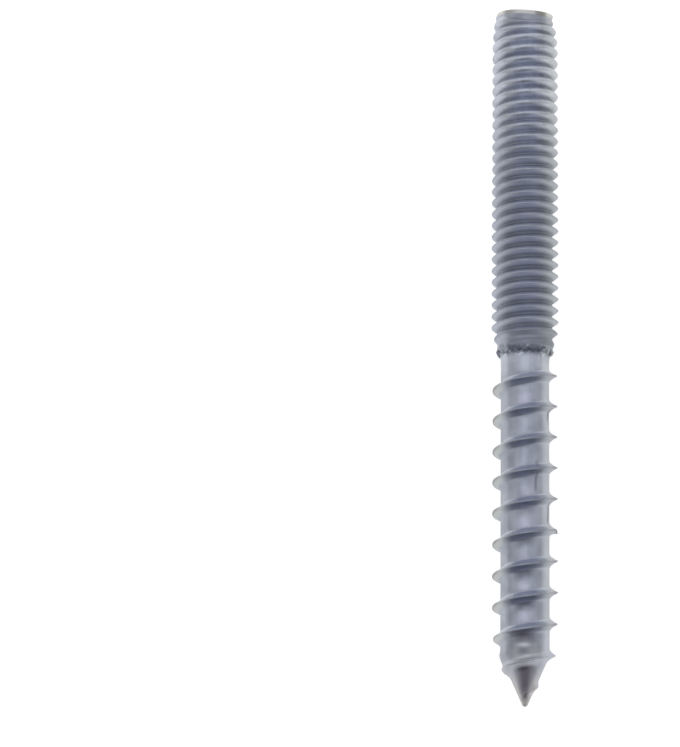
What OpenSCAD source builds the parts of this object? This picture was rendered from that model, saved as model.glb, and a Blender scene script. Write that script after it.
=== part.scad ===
// Hanger bolt: a machine thread at one end and a pointed wood thread at the other,
// rolled on one piece of steel wire. Both threads are right-handed.
// It lies on its side: +Y runs from the point to the flat end, +Z is up.

/* [Overall] */
// Length from the point to the flat end
overall_length = 60; // [50:0.5:120]

/* [Machine thread] */
// Diameter over the crests
machine_d = 5.66; // [5.5:0.02:8]
// Distance from one turn to the next
machine_pitch = 1; // [0.8:0.05:1.25]
// Length from the flat end to the foot of the shoulder
machine_length = 30.5; // [15:0.1:45]
// Length over which the first turns rise out of the rim
lead_in = 4.5; // [0.5:0.1:8]
// Length over which the last turns fade into the shoulder
run_out = 1.6; // [0.5:0.1:6]
// Distance from the flat end to the first crest on the +X side
machine_start = 0.58; // [0:0.02:1.2]
// Diameter of the rim at the flat end
rim_d = 4.84; // [4.2:0.02:5.2]
// Length of that rim
rim_length = 0.35; // [0.1:0.05:1]
// Chamfer of that rim
rim_chamfer = 0.25; // [0.05:0.01:0.6]

/* [Neck] */
// Diameter of the shoulder under the machine thread
shoulder_d = 4.85; // [4.4:0.05:5.4]
// Length of the shoulder's slope
shoulder_length = 0.45; // [0.1:0.05:1.5]
// Length of the plain neck between the shoulder and the wood thread
neck_length = 0.75; // [0.5:0.05:8]

/* [Wood thread] */
// Diameter over the crests
wood_d = 5.45; // [4.8:0.05:7]
// Diameter of the core and of the neck
core_d = 4.05; // [3.2:0.05:4.6]
// Distance from one turn to the next
wood_pitch = 2.62; // [1.8:0.02:4]
// Width of the ridge at its crest
crest_width = 0.18; // [0.08:0.01:0.3]
// Width of the ridge where its flanks turn outwards
waist_width = 0.6; // [0.32:0.01:0.7]
// Width of the ridge at its foot
foot_width = 1.24; // [0.8:0.02:1.6]
// Length over which the ridge rises out of the neck
wood_rise = 1.2; // [0.4:0.1:5]
// Distance from the tip to the first crest on the +X side
wood_start = 1.58; // [0:0.02:2.6]

/* [Point] */
// Length of the core's cone
point_length = 4.2; // [2:0.1:9]
// Diameter of the blunt tip
tip_d = 0.4; // [0.2:0.05:1]
// Length over which the ridge rises from the tip to its full height
point_rise = 8; // [3:0.1:16]

/* [Fineness] */
// Flats in one turn of either thread
flats = 24; // [16:4:28]

/* [Hidden] */

// Basic metric thread form: depth and crest width as parts of the pitch, and the slope of a flank
depth_share = 0.54127;
crest_share = 0.125;
flank_angle = 30;

// Share of the wood thread's depth at which its flanks turn outwards
waist_share = 0.38;

// Points nearer to the end of a thread than this move onto its end
end_gap = 0.02;

// The turned rim stands this far inside the end of the thread, and this far down in the bolt
rim_step = 0.03;
rim_bed = 1;

// Heights above the tip, with the bolt upright
wood_top = overall_length - machine_length - neck_length;
shoulder_foot = overall_length - machine_length;
shoulder_top = shoulder_foot + shoulder_length;
machine_top = overall_length - rim_length;

core_r = core_d / 2;
tip_r = tip_d / 2;
wood_depth = (wood_d - core_d) / 2;
shoulder_r = shoulder_d / 2;
machine_depth = depth_share * machine_pitch;
root_r = machine_d / 2 - machine_depth;
end_r = rim_d / 2;
rim_r = end_r * cos(180 / flats) - rim_step;

// A flat of the wider thread lies on the ground
rest_height = max(machine_d, wood_d) / 2 * cos(180 / flats);

// Half a ridge from its foot to its crest: distance from its middle, and share of the depth
machine_crest = crest_share * machine_pitch / 2;
machine_flank = [[machine_crest + machine_depth * tan(flank_angle), 0], [machine_crest, 1]];
wood_flank = [[foot_width / 2, 0], [waist_width / 2, waist_share], [crest_width / 2, 1]];

// The whole ridge from its lower foot to its upper foot
function ridge(flank) = concat(
    [for (p = flank) [-p[0], p[1]]],
    [for (i = [len(flank) - 1 : -1 : 0]) flank[i]]
);

// Part of the way along a length, from 0 to 1
function part_of(distance, length) = max(0, min(1, distance / length));

// Radius of the wood thread's core and ridge at a height
function core_radius(z) = tip_r + (core_r - tip_r) * part_of(z, point_length);
function ridge_share(z) = sin(90 * part_of(z, point_rise)) * part_of(wood_top - z, wood_rise);
wood_radius = function (z, share) core_radius(z) + share * wood_depth * ridge_share(z);

// Radius of the machine thread: its first turns rise out of the rim, and its last ones fade
function lead_share(z) = sqrt(1 - pow(1 - part_of(machine_top - z, lead_in), 2));
function thread_radius(z, share) = end_r + (root_r + share * machine_depth - end_r) * lead_share(z);
machine_radius = function (z, share)
    shoulder_r + (thread_radius(z, share) - shoulder_r) * part_of(z - shoulder_top, run_out);

// Corner of the skin in a column, at a height and a radius
function column_angle(j) = (j + 0.5) * 360 / flats;
function corner(j, z, r) = [r * cos(column_angle(j)), r * sin(column_angle(j)), z];

// Height held between the two ends of a thread
function held(z, bottom, top) = z < bottom + end_gap ? bottom : z > top - end_gap ? top : z;

// Columns of a helical skin, one to each corner of the flats. Each turn of each column follows the
// ridge once, and turns beyond an end gather on that end. A crest crosses the +X side at start.
function thread_columns(pitch, start, ridge, bottom, top, radius) =
    let (first = floor((bottom - start) / pitch) - 2)
    let (last = ceil((top - start) / pitch) + 2)
    [for (j = [0 : flats - 1])
        [for (turn = [first : last], p = ridge)
            let (z = held(start + pitch * (turn + column_angle(j) / 360) + p[0], bottom, top))
            corner(j, z, radius(z, p[1]))]];

// Columns of a plain turned skin through heights and radii
function turned_columns(profile) =
    [for (j = [0 : flats - 1]) [for (p = profile) corner(j, p[0], p[1])]];

// Triangles between neighbouring columns. The last column meets the first one lead points further up.
function skin_triangles(columns, lead) =
    let (top = len(columns[0]) - 1)
    [for (j = [0 : flats - 1], i = [0 : top - 1])
        let (near = columns[j])
        let (far = columns[(j + 1) % flats])
        let (up = j == flats - 1 ? lead : 0)
        let (low = far[min(i + up, top)])
        let (high = far[min(i + up + 1, top)])
        each [[near[i], near[i + 1], high], [near[i], high, low]]];

// Fan of triangles over a loop of corners
function loop_triangles(loop) = [for (i = [1 : len(loop) - 2]) [loop[0], loop[i], loop[i + 1]]];

function has_area(t) = t[0] != t[1] && t[1] != t[2] && t[2] != t[0];

module skin(triangles) {
    kept = [for (t = triangles) if (has_area(t)) t];
    polyhedron(
        points = [for (t = kept) each t],
        faces = [for (i = [0 : len(kept) - 1]) [3 * i, 3 * i + 1, 3 * i + 2]],
        convexity = 6
    );
}

// The skin upright, with its tip at the origin: wood thread, neck with shoulder, machine thread
module threaded_skin() {
    wood_ridge = ridge(wood_flank);
    machine_ridge = ridge(machine_flank);
    wood = thread_columns(wood_pitch, wood_start, wood_ridge, 0, wood_top, wood_radius);
    neck = turned_columns([[wood_top, core_r], [shoulder_foot, core_r], [shoulder_top, shoulder_r]]);
    machine = thread_columns(machine_pitch, overall_length - machine_start, machine_ridge,
        shoulder_top, machine_top, machine_radius);
    tip_loop = [for (j = [0 : flats - 1]) corner(j, 0, tip_r)];
    end_loop = [for (j = [flats - 1 : -1 : 0]) corner(j, machine_top, end_r)];
    skin(concat(
        loop_triangles(tip_loop),
        skin_triangles(wood, len(wood_ridge)),
        skin_triangles(neck, 0),
        skin_triangles(machine, len(machine_ridge)),
        loop_triangles(end_loop)
    ));
}

// The turned rim with the flat end
module end_rim() {
    rotate_extrude()
        polygon([
            [0, machine_top - rim_bed],
            [rim_r, machine_top - rim_bed],
            [rim_r, machine_top],
            [rim_r - rim_chamfer, overall_length],
            [0, overall_length]
        ]);
}

module hanger_bolt() {
    color([0.62, 0.65, 0.69])
        translate([0, -overall_length / 2, rest_height])
            rotate([-90, 0, 0]) {
                threaded_skin();
                end_rim();
            }
}

hanger_bolt();
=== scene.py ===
import math
from types import SimpleNamespace

import bmesh
import bpy
from mathutils import Matrix, Vector, noise


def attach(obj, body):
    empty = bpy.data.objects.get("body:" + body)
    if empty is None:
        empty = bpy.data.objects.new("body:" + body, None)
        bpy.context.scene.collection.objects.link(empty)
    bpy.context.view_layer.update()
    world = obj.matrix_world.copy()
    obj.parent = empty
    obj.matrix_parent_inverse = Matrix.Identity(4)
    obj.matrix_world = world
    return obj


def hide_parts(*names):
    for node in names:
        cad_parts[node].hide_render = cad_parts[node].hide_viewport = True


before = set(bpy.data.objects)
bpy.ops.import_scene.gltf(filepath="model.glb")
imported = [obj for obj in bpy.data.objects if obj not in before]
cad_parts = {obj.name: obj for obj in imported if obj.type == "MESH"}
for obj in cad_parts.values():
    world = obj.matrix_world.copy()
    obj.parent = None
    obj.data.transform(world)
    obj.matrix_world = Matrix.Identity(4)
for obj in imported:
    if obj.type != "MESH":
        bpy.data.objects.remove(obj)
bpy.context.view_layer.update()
print("frame loaded")

# the mesh is made upright, in millimetres from the tip: the right-hand side is +x, the upper side -y
bolt = {
    "length": 60.0,
    "sides": 96,             # columns in one turn of either thread
    "rest": 2.8058,          # height of the axis above the floor
    "endGap": 0.03,          # rows nearer to an end than this gather on it
    "spareTurns": 2,         # swept beyond each end, then gathered
    "stripMerge": 0.001,     # points nearer than this are one: in a swept strip,
    "threadMerge": 0.002,    # on a shaped thread,
    "wholeMerge": 0.0005,    # and on the whole bolt
    "rimMatch": 0.001,       # an open edge this near to a height is on the rim there
}

# set on each point of the mesh for the finish to read, 0 to 1: height on a ridge, the flank towards
# the flat end, the shade under a ridge, a seam, nearness to the cut end
meshMarks = ("crest", "upper", "below", "seam", "cut")


def share(distance, length):
    return max(0.0, min(1.0, distance / length))


def ease(t):
    return t * t * (3 - 2 * t)


def leftHand(angle):
    return max(0, -math.cos(angle)) ** 2


def rightHand(angle):
    return max(0, math.cos(angle)) ** 2


def upperSide(angle):
    return max(0, -math.sin(angle)) ** 2


def around(angle, middle):
    return abs((angle - middle + math.pi) % (2 * math.pi) - math.pi)


def nearMark(mark, angle, height):
    place, middle, along, spread = mark
    return max(0, 1 - abs(height - place) / along) * max(0, 1 - around(angle, middle) / spread)


def ripple(angle, height, fine, long):
    return noise.noise(Vector((math.cos(angle) * fine, math.sin(angle) * fine, height * long)))


def held(height, low, high):
    if height < low + bolt["endGap"]:
        return low
    return high if height > high - bolt["endGap"] else height


def turned(radius, angle, height):
    return Vector((radius * math.cos(angle), radius * math.sin(angle), height))


def sweepThread(bm, thread):
    # a strip one pitch high is swept up one turn, and its copies close into a tube
    pitch, start = thread["pitch"], thread["start"]
    first = math.floor((thread["bottom"] - start) / pitch) - bolt["spareTurns"]
    turns = math.ceil((thread["top"] - start) / pitch) + bolt["spareTurns"] - first
    offsets = sorted({-row for row in thread["rows"]} | set(thread["rows"]) | {-pitch / 2, pitch / 2})
    old = set(bm.verts)
    line = [bm.verts.new((1, 0, start + pitch * first + offset)) for offset in offsets]
    edges = [bm.edges.new(pair) for pair in zip(line, line[1:])]
    bmesh.ops.spin(bm, geom=line + edges, cent=(0, 0, 0), axis=(0, 0, 1),
                   dvec=(0, 0, pitch / bolt["sides"]), angle=2 * math.pi, steps=bolt["sides"])
    turn = [v for v in bm.verts if v not in old]
    edges = list(dict.fromkeys(e for v in turn for e in v.link_edges))
    faces = list(dict.fromkeys(f for v in turn for f in v.link_faces))
    for step in range(1, turns):
        copy = bmesh.ops.duplicate(bm, geom=turn + edges + faces)["geom"]
        bmesh.ops.translate(bm, vec=(0, 0, pitch * step),
                            verts=[part for part in copy if isinstance(part, bmesh.types.BMVert)])
    swept = [v for v in bm.verts if v not in old]
    bmesh.ops.remove_doubles(bm, verts=swept, dist=bolt["stripMerge"])
    return [v for v in bm.verts if v not in old]


# reach of the flanks' marks from the middle of a ridge
flanks = {
    "turn": 0.05,            # the lower flank changes to the upper one within this
    "shadeStart": 0.2,       # the shade starts here under the ridge,
    "shadeRise": 0.25,       # rises over this length,
    "shadeEnd": 0.6,         # starts to fade here,
    "shadeFade": 0.8,        # and fades over this one
}


def shapeThread(bm, thread, radiusAt):
    # moves the tube out to the thread's form, and gathers the rows beyond its ends
    crest, upper, below = (bm.verts.layers.float[name] for name in ("crest", "upper", "below"))
    skin = sweepThread(bm, thread)
    for v in skin:
        angle = math.atan2(v.co.y, v.co.x) % (2 * math.pi)
        turn = (v.co.z - thread["start"]) / thread["pitch"] - angle / (2 * math.pi)
        offset = (turn - round(turn)) * thread["pitch"]
        height = held(v.co.z, thread["bottom"], thread["top"])
        radius, lift, height = radiusAt(angle, height, offset)
        v.co = turned(radius, angle, height)
        v[crest] = lift
        v[upper] = share(offset + flanks["turn"], 2 * flanks["turn"])
        shade = share(-offset - flanks["shadeStart"], flanks["shadeRise"])
        v[below] = shade * (1 - ease(share(-offset - flanks["shadeEnd"], flanks["shadeFade"])))
    bmesh.ops.remove_doubles(bm, verts=skin, dist=bolt["threadMerge"])


def openRim(bm, height):
    near = bolt["rimMatch"]
    return [e for e in bm.edges if e.is_boundary and all(abs(v.co.z - height) < near for v in e.verts)]


def carryOn(bm, edges, placeAt):
    # grows an open rim on to its next place
    made = bmesh.ops.extrude_edge_only(bm, edges=edges)["geom"]
    for v in made:
        if isinstance(v, bmesh.types.BMVert):
            v.co = placeAt(math.atan2(v.co.y, v.co.x))
    return [e for e in made if isinstance(e, bmesh.types.BMEdge) and e.is_boundary]


def closeRim(bm, edges, height):
    edges = carryOn(bm, edges, lambda angle: Vector((0, 0, height)))
    verts = list(dict.fromkeys(v for e in edges for v in e.verts))
    bmesh.ops.pointmerge(bm, verts=verts, merge_co=(0, 0, height))


machineThread = {
    "pitch": 1.0,
    "start": 59.42,              # a crest crosses the right-hand side here
    "crestRadius": 2.83,
    "depth": 0.54,
    "roundness": (1.1, 1.6),     # 1 is a plain V, more is a rounder crest: lower turns, upper turns
    "rootHalf": (0.4, 0.5),
    "change": (40.0, 12.0),      # where the turns begin to change, and over which length
    "leadGap": 0.42,             # plain length under the rim
    "leadIn": 3.2,               # the crests rise over this length
    "sinkIn": 0.4,               # and the roots sink over this one
    "runOut": 1.7,
    "bottom": 29.95,
    "top": 59.85,
    "rows": (0, 0.05, 0.1, 0.15, 0.2, 0.26, 0.32, 0.38, 0.44, 0.48),
    "waver": (0.018, 2.2, 1.4),  # size, fineness round the bolt and along it
}


def machinePoint(angle, height, offset):
    place, length = machineThread["change"]
    changed = share(height - place, length)
    roundness, rootHalf = (low + (high - low) * changed
                           for low, high in (machineThread["roundness"], machineThread["rootHalf"]))
    lift = 1 - share(abs(offset), rootHalf) ** roundness
    below = machineThread["top"] - height
    gap = machineThread["leadGap"] * (1 - leftHand(angle) + upperSide(angle))
    lead = math.sqrt(1 - (1 - share(below - gap, machineThread["leadIn"])) ** 2)
    sink = share(below, machineThread["sinkIn"] + leftHand(angle) * rim["swellReach"])
    fade = share(height - machineThread["bottom"], machineThread["runOut"])
    size, fine, long = machineThread["waver"]
    waver = size * ripple(angle, height, fine, long) * lift
    root = machineThread["crestRadius"] - machineThread["depth"]
    outer = rimRadius(angle)
    low = outer + (root - outer) * sink
    radius = low + (machineThread["crestRadius"] - low) * lift * lead + waver * lead
    atRing = ringRadius(angle)
    return atRing + (radius - atRing) * fade, 1 - (1 - lift * lead) * sink * fade, height


woodThread = {
    "pitch": 2.62,
    "start": 1.575,
    "coreRadius": 2.03,
    "depth": 0.69,
    "crestHalf": 0.05,
    "footHalf": 0.62,
    "flare": 1.85,
    "rise": 1.2,                 # the ridge rises out of the neck over this length
    "tipRise": (0.3, 1.1),       # and out of the tip from this place, over this length
    "pointRise": 8.0,            # it has its full height here
    "pointLength": 4.2,
    "tipRadius": 0.17,
    "tipRings": ((0.17, 0.06), (0.1, 0.015)),    # radius and height
    "bulge": (3.65, 1.1, 0.17),  # on the point's left-hand side: place, reach and size
    "bottom": 0.12,
    "top": 28.75,
    "rows": (0, 0.025, 0.05, 0.09, 0.13, 0.18, 0.24, 0.31, 0.39, 0.48, 0.6, 0.8, 1.05),
    "waver": (0.03, 1.7, 0.9),
}

# marks of use: place along the bolt, angle from the right-hand side, reach along and round
marks = {
    "bentCrest": (14.67, 0.0, 0.9, 0.26),
    "bend": 0.3,                 # towards the tip
    "nick": (24.05, 0.02, 0.42, 0.2),
    "nickDepth": 0.12,
    "seams": ((18.9, -1.1, 1.5, 0.08), (16.1, -0.36, 1.3, 0.12), (24.3, -0.32, 0.85, 0.16)),
    "seamWander": (0.02, 2),     # size in radians, and waves
    "seamFade": 0.6,
}


def coreRadius(height):
    span = woodThread["coreRadius"] - woodThread["tipRadius"]
    return woodThread["tipRadius"] + span * share(height, woodThread["pointLength"])


def woodPoint(angle, height, offset):
    crestHalf = woodThread["crestHalf"]
    lift = 1 - share(abs(offset) - crestHalf, woodThread["footHalf"] - crestHalf)
    lift = lift ** woodThread["flare"]
    place, length = woodThread["tipRise"]
    grown = math.sin(math.pi / 2 * share(height, woodThread["pointRise"]))
    grown *= ease(share(woodThread["top"] - height, woodThread["rise"]))
    grown *= ease(share(height - place, length))
    size, fine, long = woodThread["waver"]
    waver = size * ripple(angle, height, fine, long)
    place, reach, size = woodThread["bulge"]
    bulge = size * ease(max(0, 1 - abs(height - place) / reach)) * leftHand(angle)
    radius = coreRadius(height) + bulge + (woodThread["depth"] + waver) * lift * grown

    # a crest bent towards the tip and a nick in the core, but the two ends stay where they are
    bend = ease(nearMark(marks["bentCrest"], angle, height))
    nick = ease(nearMark(marks["nick"], angle, height))
    if height not in (woodThread["bottom"], woodThread["top"]):
        height -= marks["bend"] * bend * lift
    return radius - marks["nickDepth"] * nick, lift * grown, height


def makeTip(bm):
    edges = openRim(bm, woodThread["bottom"])
    for radius, height in woodThread["tipRings"]:
        edges = carryOn(bm, edges, lambda angle: turned(radius, angle, height))
    closeRim(bm, edges, 0)


def markSeam(bm):
    seam, crest = bm.verts.layers.float["seam"], bm.verts.layers.float["crest"]
    size, waves = marks["seamWander"]
    for place, middle, along, spread in marks["seams"]:
        for v in bm.verts:
            angle = math.atan2(v.co.y, v.co.x)
            near = max(0, 1 - around(angle, middle + size * math.sin(v.co.z * waves)) / spread)
            near *= ease(share(along - abs(v.co.z - place), marks["seamFade"])) * (1 - v[crest])
            v[seam] = max(v[seam], near)


# the ragged ring between the neck and the machine thread
ring = {
    "radius": 2.35,
    "ragged": 0.1,
    "teeth": 6.5,                # fineness of its lower edge
    "upperTeeth": 0.6,           # share of that at its upper edge
    "slices": (3.7, 8.3),        # where the noise is cut: upper edge, lower edge
    "neck": ((28.9, 0.0), (29.1, 0.01), (29.25, 0.03)),  # height and flare
    "foot": 29.66,
    "steps": (                   # height from the foot, flare and roughness
        (-0.16, 0.06, 0.2),
        (-0.1, 0.16, 0.3),
        (0, 0.3, 0.24),
        (0.16, 0.4, 0.1),
    ),
    "outward": 0.35,             # share of the roughness that goes outwards
    "roughTurn": 2,              # radians between the roughness outwards and along the bolt
}


def ringRadius(angle):
    upperSlice = ring["slices"][0]
    teeth = ring["teeth"] * ring["upperTeeth"]
    return ring["radius"] + ring["ragged"] * ripple(angle, upperSlice, teeth, 1)


def burr(angle, size):
    lowerSlice = ring["slices"][1]
    return size * ripple(angle, lowerSlice, ring["teeth"], 1)


def makeNeck(bm):
    core = woodThread["coreRadius"]
    edges = openRim(bm, woodThread["top"])
    for height, flare in ring["neck"]:
        edges = carryOn(bm, edges, lambda angle: turned(core + flare, angle, height))
    for rise, flare, rough in ring["steps"]:
        edges = carryOn(bm, edges, lambda angle: turned(
            core + flare + burr(angle, rough * ring["outward"]), angle,
            ring["foot"] + rise + burr(angle + ring["roughTurn"], rough)))
    carryOn(bm, edges, lambda angle: turned(ringRadius(angle), angle, machineThread["bottom"]))


rim = {
    "radius": 2.42,
    "rounding": 0.12,
    "steps": 6,
    "faceRings": (1.0, 2.0),     # on the flat end, in from the rim
    "swell": 0.06,               # more on the left-hand side
    "swellReach": 1.6,
    "worn": 0.16,                # more rounding on the right-hand side
    "lean": 0.42,                # drop of the end's upper side
    "leanReach": 3.0,
    "leanTurn": 0.3,             # radians towards the right-hand side
    "leanCurve": 3,
    "cutReach": 0.8,             # the cut's marks are placed over this length
}


def rimRadius(angle):
    return rim["radius"] + rim["swell"] * leftHand(angle)


def makeRim(bm):
    rounding, steps, end = rim["rounding"], rim["steps"], bolt["length"]
    rows = []
    for step in range(steps + 1):
        turn = math.pi / 2 * step / steps
        height = end - rounding * (1 - math.sin(turn))
        rows.append((rounding * (1 - math.cos(turn)), height, rim["worn"] / rounding))
    rows += [(inset, end, 0) for inset in rim["faceRings"]]
    edges = openRim(bm, machineThread["top"])
    for inset, height, worn in rows:
        edges = carryOn(bm, edges, lambda angle: turned(
            rimRadius(angle) - inset * (1 + worn * rightHand(angle)), angle, height))
    closeRim(bm, edges, end)


def markCut(bm):
    # nearness to the end, taken before the end is leaned
    cut = bm.verts.layers.float["cut"]
    for v in bm.verts:
        v[cut] = share(v.co.z - bolt["length"] + rim["cutReach"], rim["cutReach"])


def leanEnd(bm):
    # the end is cut a little askew, lower on the upper side
    turn = rim["leanTurn"]
    for v in bm.verts:
        near = ease(share(v.co.z - bolt["length"] + rim["leanReach"], rim["leanReach"]))
        facing = (v.co.x * math.sin(turn) - v.co.y * math.cos(turn)) / rim["radius"]
        v.co.z -= rim["lean"] * near * ((1 + facing) / 2) ** rim["leanCurve"]


def makeBolt():
    bm = bmesh.new()
    for name in meshMarks:
        bm.verts.layers.float.new(name)
    shapeThread(bm, woodThread, woodPoint)
    shapeThread(bm, machineThread, machinePoint)
    print("threads swept:", len(bm.verts), "points")
    makeNeck(bm)
    makeRim(bm)
    makeTip(bm)
    markCut(bm)
    leanEnd(bm)
    bmesh.ops.remove_doubles(bm, verts=bm.verts[:], dist=bolt["wholeMerge"])
    markSeam(bm)
    bmesh.ops.recalc_face_normals(bm, faces=bm.faces[:])
    print("open edges left:", sum(1 for e in bm.edges if not e.is_manifold))

    # laid on its side, in metres
    bm.transform(Matrix.Translation((0, -bolt["length"] / 2000, bolt["rest"] / 1000))
                 @ Matrix.Rotation(-math.pi / 2, 4, "X") @ Matrix.Scale(0.001, 4))
    for face in bm.faces:
        face.smooth = True
    mesh = bpy.data.meshes.new("zincBolt")
    bm.to_mesh(mesh)
    bm.free()
    piece = bpy.data.objects.new("zincBolt", mesh)
    bpy.context.scene.collection.objects.link(piece)
    return piece


class Wire:
    # wraps one socket, so that shader maths reads as Python
    def __init__(self, tree, socket=None):
        self.tree = tree
        self.socket = socket

    def node(self, kind, settings, sockets, output=0):
        made = self.tree.nodes.new(kind)
        for name, value in settings.items():
            setattr(made, name, value)
        for name, value in sockets.items():
            if isinstance(value, Wire):
                self.tree.links.new(value.socket, made.inputs[name])
            else:
                made.inputs[name].default_value = value
        return Wire(self.tree, made.outputs[output] if made.outputs else None)

    def maths(self, operation, first, second=0):
        return self.node("ShaderNodeMath", {"operation": operation}, {0: first, 1: second})

    def __add__(self, other):
        return self.maths("ADD", self, other)

    def __sub__(self, other):
        return self.maths("SUBTRACT", self, other)

    def __rsub__(self, other):
        return self.maths("SUBTRACT", other, self)

    def __mul__(self, other):
        return self.maths("MULTIPLY", self, other)

    def __truediv__(self, other):
        return self.maths("DIVIDE", self, other)

    __radd__ = __add__
    __rmul__ = __mul__

    def most(self, other):
        return self.maths("MAXIMUM", self, other)

    def between(self, low, high):
        # rises smoothly from 0 to 1, or falls where low is the larger one
        return self.node("ShaderNodeMapRange", {"interpolation_type": "SMOOTHSTEP"},
                         {"Value": self, "From Min": low, "From Max": high})

    def lessen(self, low, high, amount):
        return 1 - self.between(low, high) * amount

    def tint(self, first, second):
        # colour from first to second as this value goes from 0 to 1
        return self.node("ShaderNodeMix", {"data_type": "RGBA"}, {0: self, 6: first, 7: second}, 2)

    def multiplied(self, other):
        # this colour times another one
        return self.node("ShaderNodeMix", {"data_type": "RGBA", "blend_type": "MULTIPLY"},
                         {0: 1.0, 6: self, 7: other}, 2)


def noiseAt(coords, scale, detail, stretch=(1, 1, 1)):
    placed = coords.node("ShaderNodeMapping", {}, {"Vector": coords, "Scale": stretch})
    return placed.node("ShaderNodeTexNoise", {}, {"Vector": placed, "Scale": scale, "Detail": detail})


# the finish is placed in metres: across the bolt, along it from its middle (+ is the flat end), and up
# a mark has an amount, and the values that bound it: each rises over two stops, and falls over two more
zinc = {
    "pale": (0.5, 0.53, 0.61, 1),
    "deep": (0.38, 0.41, 0.49, 1),
    "bright": (0.66, 0.7, 0.8, 1),
    "brown": (0.18, 0.16, 0.19, 1),
    # dark seams and burnt specks, and painted shade in many places
    "grimeAndShade": (0.11, 0.12, 0.16, 1),
    "warm": (0.64, 0.61, 0.58, 1),           # bare metal
    "mottle": (800, 5),                      # scale and detail of the noise
    "grain": (4200, 3),
    "drawn": (3600, 3, (1, 0.05, 1)),        # drawn out along the bolt
    "drawnShare": 0.25,
    "toneRange": (0.32, 0.68),
    "neck": (0.7, {"along": (-0.0026, -0.0018, -0.0007, -0.0004)}),
    "upperTurns": (1, {"along": (0.012, 0.024)}),
    "axis": 0.0028,                          # height of the bolt's axis
    "upperHalf": (0.0027, 0.003),
    "cone": (-0.0306, 0.44),                 # the point's end and slope, for the streak
}


def readSurface(start):
    # what the finish reads at each point
    coords = start.node("ShaderNodeTexCoord", {}, {}, "Object")
    at = SimpleNamespace(coords=coords)
    at.across, at.along, at.up = (
        start.node("ShaderNodeSeparateXYZ", {}, {"Vector": coords}, axis) for axis in "XYZ")
    at.crest, at.upper, at.below, at.seam, at.cut = (
        start.node("ShaderNodeAttribute", {"attribute_name": name}, {}, "Fac") for name in meshMarks)
    at.mottle, at.grain, at.drawn = (
        noiseAt(coords, *zinc[name]) for name in ("mottle", "grain", "drawn"))
    at.left = 0 - at.across
    at.aside = start.maths("ABSOLUTE", at.across)
    at.lift = at.up - zinc["axis"]
    at.above = at.up.between(*zinc["upperHalf"])
    at.radius = start.maths("SQRT", at.across * at.across + at.lift * at.lift)
    end, slope = zinc["cone"]
    at.cone = at.aside / ((at.along - end) * slope)
    return at


def zone(at, amount, bounds):
    # a mark's amount, where all the values that bound it have risen and not yet fallen
    made = amount
    for name, stops in bounds.items():
        made = made * getattr(at, name).between(*stops[:2])
        if len(stops) == 4:
            made = made * getattr(at, name).between(stops[3], stops[2])
    return made


def plainZinc(at):
    tone = at.mottle * (1 - zinc["drawnShare"]) + at.drawn * zinc["drawnShare"]
    tone = tone.between(*zinc["toneRange"])
    colour = tone.tint(zinc["deep"], zinc["pale"])
    # painted light makes the turns towards the flat end paler; the neck is paler too
    brighter = zone(at, *zinc["upperTurns"]) + zone(at, *zinc["neck"])
    return brighter.tint(colour, tone.tint(zinc["pale"], zinc["bright"]))


woodLook = {
    "flankPale": (0.8, 0.85, 0.95, 1),
    "bumpPale": (0.62, 0.64, 0.63, 1),
    "lavender": (0.6, 0.61, 0.74, 1),
    "reach": (1, {"along": (-0.0011, -0.0016)}),
    "flank": (0.8, {"crest": (0.01, 0.12), "along": (-0.0275, -0.0245)}),
    "flankRight": (0.0009, 0.0019, 0.85),    # less on the right-hand side
    "under": (0.5, {"crest": (0.03, 0.25)}),
    "ridge": (0.52, {"crest": (0.75, 1)}),
    "dark": (1, {"along": (-0.0262, -0.0245), "left": (0.0021, 0.0009)}),
    "darkRight": (0.0016, 0.0024, 0.8),
    "shade": (0.85, {"along": (-0.006, -0.0225, -0.0245, -0.0262),
                     "aside": (0.0012, 0.0002), "crest": (0.3, 0.05)}),
    "rightSide": (0.3, {"across": (0.0012, 0.0018)}),
    "bump": (0.7, {"crest": (0.05, 0.4), "left": (0.0014, 0.0023)}),
    "outline": (0.5, {"crest": (0.7, 0.95), "aside": (0.0019, 0.0025)}),
    "centreSheen": (0.6, {"along": (-0.025, -0.0245), "crest": (0.1, 0), "aside": (0.0011, 0.0002)}),
    "centreSheenNoise": (520, 2, (1, 1.4, 1)),
    "centreSheenRange": (0.42, 0.62),
}


def woodZinc(at, colour):
    # painted highlight: the flanks towards the flat end are bright
    wood = zone(at, *woodLook["reach"])
    bright = at.upper * zone(at, *woodLook["flank"]) * at.across.lessen(*woodLook["flankRight"])
    colour = (wood * bright).tint(colour, woodLook["flankPale"])

    # painted shade: the other flanks and the crest are dark, with a painted shade under them that grows
    # towards the tip
    dark = ((1 - at.upper) * zone(at, *woodLook["under"])).most(zone(at, *woodLook["ridge"]))
    dark = dark * zone(at, *woodLook["dark"]) * at.across.lessen(*woodLook["darkRight"])
    dark = dark.most(at.below * zone(at, *woodLook["shade"]))
    colour = (wood * dark).tint(colour, zinc["grimeAndShade"])

    # painted light on a paler side and on the ridge's bumps on the left, and a thin line of painted
    # shade round them
    colour = (wood * zone(at, *woodLook["rightSide"])).tint(colour, zinc["bright"])
    colour = (wood * zone(at, *woodLook["bump"])).tint(colour, woodLook["bumpPale"])
    colour = (wood * zone(at, *woodLook["outline"])).tint(colour, zinc["brown"])

    # a broken painted highlight along the middle of the core
    centreSheen = wood * zone(at, *woodLook["centreSheen"]) * (1 - at.below)
    centreSheen = centreSheen * noiseAt(at.coords, *woodLook["centreSheenNoise"]).between(*woodLook["centreSheenRange"])
    return centreSheen.tint(colour, woodLook["lavender"])


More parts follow.
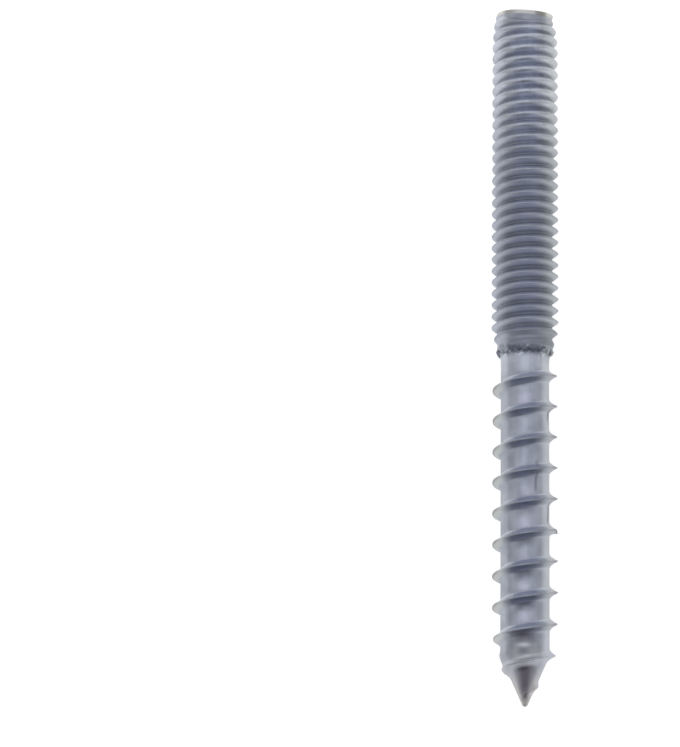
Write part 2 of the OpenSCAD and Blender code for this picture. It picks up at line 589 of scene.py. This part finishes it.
cutLook = {
    "pale": (0.72, 0.71, 0.7, 1),
    "dull": (0.4, 0.39, 0.37, 1),
    "shade": (0.25, {"aside": (0.0022, 0.0014)}),    # painted shade under the bare band
    "shadeSlant": 0.062,
    "shadeRange": (0.0282, 0.029),
    "bandSlant": 25,                         # the band is wider on the right-hand side
    "bandMottle": 0.2,
    "bandRange": (0.54, 0.68),
    "bandRight": (0.0019, 0.0024, 0.7),      # less at its right-hand end
    "dullRight": (1, {"across": (0.002, 0.0016)}),
    "dullMottle": 0.001,
    "dullRange": (0.0012, 0.0018),
    "dullLeft": (0.6, {"left": (0.0006, 0.0012, 0.0015, 0.0021)}),
    "face": (1, {"along": (0.029, 0.0292), "radius": (0.0023, 0.0019)}),
    "sheared": (2600, 4, (1, 1, 0.2)),
    "shearedRange": (0.2, 0.8),
}


def cutZinc(at, colour):
    # painted shade under the bare band, in front
    shade = (at.along + at.lift * cutLook["shadeSlant"]).between(*cutLook["shadeRange"])
    colour = (shade * zone(at, *cutLook["shade"])).tint(colour, zinc["grimeAndShade"])

    # bare metal round the rim, partly a painted highlight, and dull in two places
    dull = (at.across + at.mottle * cutLook["dullMottle"]).between(*cutLook["dullRange"])
    dull = dull * zone(at, *cutLook["dullRight"]) + zone(at, *cutLook["dullLeft"])
    band = at.cut + at.across * cutLook["bandSlant"] + at.mottle * cutLook["bandMottle"]
    band = band.between(*cutLook["bandRange"]) * at.across.lessen(*cutLook["bandRight"])
    colour = band.tint(colour, dull.tint(cutLook["pale"], cutLook["dull"]))

    # the sheared face
    sheared = noiseAt(at.coords, *cutLook["sheared"]).between(*cutLook["shearedRange"])
    return zone(at, *cutLook["face"]).tint(colour, sheared.tint(cutLook["dull"], zinc["warm"]))


pointLook = {
    "scraped": (0.7, 0.73, 0.78, 1),
    "bare": (0.55, {"along": (-0.0263, -0.0297)}),
    "streak": (1, {"cone": (0.7, 0.1), "along": (-0.0265, -0.0271, -0.0286, -0.0298)}),
    "streakAmount": 0.95,
    # painted shade under a ridge near the point
    "shadeUnderRidge": (0.4, {"along": (-0.0251, -0.0247, -0.0245, -0.0239), "aside": (0.0015, 0.0008)}),
    "patch": (0.2, {"along": (-0.0246, -0.0252, -0.0257, -0.0263), "aside": (0.0018, 0.0008)}),
    "blot": (0.55, {"along": (-0.026, -0.0257, -0.0255, -0.0252),
                    "across": (-0.0008, -0.0002, 0, 0.0006)}),
    "fleck": (0.55, {"along": (-0.02532, -0.02513, -0.02507, -0.02488),
                     "aside": (0.0011, 0.0002), "mottle": (0.25, 0.6)}),
}


def pointZinc(at, colour):
    # bare metal towards the tip, a dark streak on the point's upper half, and the marks above it, one
    # of them painted shade under a ridge
    colour = zone(at, *pointLook["bare"]).tint(colour, zinc["warm"])
    streak = at.above * zone(at, *pointLook["streak"])
    colour = (streak * pointLook["streakAmount"]).tint(colour, zinc["brown"])
    paints = {"shadeUnderRidge": zinc["brown"], "patch": zinc["grimeAndShade"],
              "blot": zinc["grimeAndShade"], "fleck": pointLook["scraped"]}
    for name, paint in paints.items():
        colour = (at.above * zone(at, *pointLook[name])).tint(colour, paint)
    return colour, streak


machineLook = {
    "flank": (0.6, {"along": (0, 0.001, 0.01, 0.022), "crest": (0.1, 0.35, 0.75, 1)}),
    "lowerRoot": (1.8, {"along": (0, 0.001, 0.01, 0.022)}),
    "rootDeep": 1.4,                         # painted shade in the root, before these lessen it
    "rootSlope": (1, {"crest": (-0.1, 0.8)}),
    "rootFloor": (0.4, {"crest": (0, 0.15)}),
    "rootSides": (0.0012, 0.0024, 0.5),
    "upperRoot": (1, {"along": (0.01, 0.022), "crest": (0.8, 0.1)}),
    "rootShade": 0.25,
    "runOut": (0.45, {"along": (-0.0002, 0.0002, 0.0008, 0.002)}),
    "runOutLeft": (0.001, 0.002, 0.8),
    "burnt": (0.85, {"along": (-0.001, -0.0004, -0.0002, 0.0004)}),
    "specks": (2600, 4),
    "specksMiddle": (0.16, {"aside": (0.0019, 0.001)}),  # more of them in the middle
    "specksMore": 0.04,
    "specksRange": (0.4, 0.72),
    "seam": 0.7,
    "edge": (1, {"along": (-0.0014, -0.0011, -0.0007, -0.0004)}),
    "edgeNoise": (1900, 2),
    "edgeRange": (0.6, 0.68),
}


def dirtAndShadeZinc(at, colour):
    # painted highlight on the flanks of the thread's lower turns, painted shade in its roots, and
    # darker over its run-out
    colour = zone(at, *machineLook["flank"]).tint(colour, zinc["bright"])
    lower = machineLook["rootDeep"] - zone(at, *machineLook["rootSlope"])
    lower = lower - zone(at, *machineLook["rootFloor"])
    lower = lower * zone(at, *machineLook["lowerRoot"]) * at.aside.lessen(*machineLook["rootSides"])
    root = (zone(at, *machineLook["upperRoot"]) + lower) * machineLook["rootShade"]
    runOut = zone(at, *machineLook["runOut"]) * at.left.lessen(*machineLook["runOutLeft"])

    # burnt plating in the ring, dark seams in the core, and bright flecks under the ring
    specks = noiseAt(at.coords, *machineLook["specks"])
    specks = specks + zone(at, *machineLook["specksMiddle"]) + machineLook["specksMore"]
    burnt = specks.between(*machineLook["specksRange"]) * zone(at, *machineLook["burnt"])
    dark = burnt.most(at.seam * machineLook["seam"]).most(runOut).most(root)
    colour = dark.tint(colour, zinc["grimeAndShade"])
    flecks = noiseAt(at.coords, *machineLook["edgeNoise"]).between(*machineLook["edgeRange"])
    return (flecks * zone(at, *machineLook["edge"])).tint(colour, zinc["bright"]), dark


# a painted reflection makes the middle bluer and the sides more neutral, and the point is warmer
hueLook = {
    "bluer": (0.99, 1.0, 1.035, 1),
    "neutral": (1.01, 1.0, 0.92, 1),
    "warmer": (1.03, 1.0, 0.96, 1),
    "left": (0.55, {"left": (0.0003, 0.0019)}),
    "right": (1, {"across": (0.0007, 0.0022)}),
    "point": (1, {"along": (-0.0236, -0.0262)}),
}


def hueAt(at, streak):
    sides = zone(at, *hueLook["left"]) + zone(at, *hueLook["right"])
    point = zone(at, *hueLook["point"]) * (1 - streak)
    return point.tint(sides.tint(hueLook["bluer"], hueLook["neutral"]), hueLook["warmer"])


satin = {
    "rough": 0.25,
    "roughMottle": 0.16,
    "roughGrain": 0.1,
    "roughDark": 0.2,
    "smoothCrest": 0.04,
    "dulled": (0.14, {"along": (0, 0.001, 0.012, 0.024)}),   # lower half of the machine thread
    "bumpMottle": 0.4,
    "bumpGrain": 0.5,
    "bumpDrawn": 0.35,
    "seamDepth": 1.2,
    "bumpStrength": 0.35,
    "bumpDistance": 0.00003,
}


def makeZinc():
    material = bpy.data.materials.new("satinZinc")
    material.use_nodes = True
    tree = material.node_tree
    tree.nodes.clear()
    start = Wire(tree)
    at = readSurface(start)
    colour = woodZinc(at, plainZinc(at))
    colour = cutZinc(at, colour)
    colour, streak = pointZinc(at, colour)
    colour, dark = dirtAndShadeZinc(at, colour)
    colour = colour.multiplied(hueAt(at, streak))

    rough = at.mottle * satin["roughMottle"] + at.grain * satin["roughGrain"] + satin["rough"]
    rough = rough + dark * satin["roughDark"] - at.crest * satin["smoothCrest"]
    rough = rough + zone(at, *satin["dulled"])
    height = at.grain * satin["bumpGrain"] + at.drawn * satin["bumpDrawn"]
    height = height + at.mottle * satin["bumpMottle"] - at.seam * satin["seamDepth"]
    bump = start.node("ShaderNodeBump", {}, {
        "Strength": satin["bumpStrength"], "Distance": satin["bumpDistance"], "Height": height})
    shader = start.node("ShaderNodeBsdfPrincipled", {}, {
        "Base Color": colour, "Metallic": 1.0, "Roughness": rough, "Normal": bump})
    start.node("ShaderNodeOutputMaterial", {}, {"Surface": shader})
    return material


stage = {
    "floorReach": 0.6,
    "floorTone": (0.9, 0.9, 0.9, 1),
    "floorGlow": 0.38,
    "floorLift": 0.26,                  # more of it towards the camera
    "skyLevel": 0.5,
    "skyRise": (0, 0.02, 0.2),          # a little brighter overhead
    "shadeWay": (0, -0.95, 0.31),       # the dark side of the room, beyond the tip
    "shadeEdge": (0.85, 0.985),
    "shadeLeast": 0.13,
}


def makeFloor():
    bm = bmesh.new()
    bmesh.ops.create_grid(bm, x_segments=2, y_segments=2, size=stage["floorReach"])
    mesh = bpy.data.meshes.new("paleFloor")
    bm.to_mesh(mesh)
    bm.free()
    floor = bpy.data.objects.new("paleFloor", mesh)
    bpy.context.scene.collection.objects.link(floor)

    material = bpy.data.materials.new("paleFloor")
    material.use_nodes = True
    tree = material.node_tree
    tree.nodes.clear()
    start = Wire(tree)
    direct, glossy, through = (start.node("ShaderNodeLightPath", {}, {}, name)
                               for name in ("Is Camera Ray", "Is Glossy Ray", "Is Transmission Ray"))
    seen = direct.most(glossy).most(through)
    paper = start.node("ShaderNodeBsdfDiffuse", {}, {"Color": stage["floorTone"]})
    strength = seen * stage["floorGlow"] + direct * stage["floorLift"]
    glow = start.node("ShaderNodeEmission", {}, {"Strength": strength})
    both = start.node("ShaderNodeAddShader", {}, {0: paper, 1: glow})
    start.node("ShaderNodeOutputMaterial", {}, {"Surface": both})
    mesh.materials.append(material)


def makeSky():
    # soft light that falls off from the flat end's side to the tip's side
    world = bpy.data.worlds.new("softRoom")
    bpy.context.scene.world = world
    world.use_nodes = True
    tree = world.node_tree
    tree.nodes.clear()
    start = Wire(tree)
    way = start.node("ShaderNodeTexCoord", {}, {}, "Generated")
    dot = {"operation": "DOT_PRODUCT"}
    rise = start.node("ShaderNodeVectorMath", dot, {0: way, 1: stage["skyRise"]}, "Value")
    shade = start.node("ShaderNodeVectorMath", dot, {0: way, 1: stage["shadeWay"]}, "Value")
    shade = shade.between(*stage["shadeEdge"])
    level = (rise + stage["skyLevel"]) * (1 - shade) + shade * stage["shadeLeast"]
    direct = start.node("ShaderNodeLightPath", {}, {}, "Is Camera Ray")
    strength = direct + (1 - direct) * level
    sky = start.node("ShaderNodeBackground", {}, {"Color": (1, 1, 1, 1), "Strength": strength})
    start.node("ShaderNodeOutputWorld", {}, {"Surface": sky})


lamps = {
    "key": {"place": (0, 0.2, 0.8), "size": 0.34, "power": 0.12},
}


def makeLamp(name, lamp):
    data = bpy.data.lights.new(name, "AREA")
    data.shape = "DISK"
    data.size = lamp["size"]
    data.energy = lamp["power"]
    light = bpy.data.objects.new(name, data)
    light.location = lamp["place"]
    light.rotation_euler = (-Vector(lamp["place"])).to_track_quat("-Z", "Y").to_euler()
    bpy.context.scene.collection.objects.link(light)


camera = {
    "place": (0.0, -0.04922, 0.21273),
    "turn": (12.7098, 4.0523, 0.9305),  # degrees
    "lens": 122.65,
    "nearest": 0.01,
}


def makeCamera():
    data = bpy.data.cameras.new("camera")
    data.lens = camera["lens"]
    data.clip_start = camera["nearest"]
    seen = bpy.data.objects.new("camera", data)
    seen.location = camera["place"]
    seen.rotation_euler = [math.radians(turn) for turn in camera["turn"]]
    bpy.context.scene.collection.objects.link(seen)
    bpy.context.scene.camera = seen


piece = makeBolt()
piece.data.materials.append(makeZinc())
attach(piece, "root")
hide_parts("hanger_bolt")
print("bolt made:", len(piece.data.polygons), "faces")

makeFloor()
makeSky()
for name, lamp in lamps.items():
    makeLamp(name, lamp)
makeCamera()
bpy.context.scene.view_settings.view_transform = "Standard"
print("stage, light and camera set")
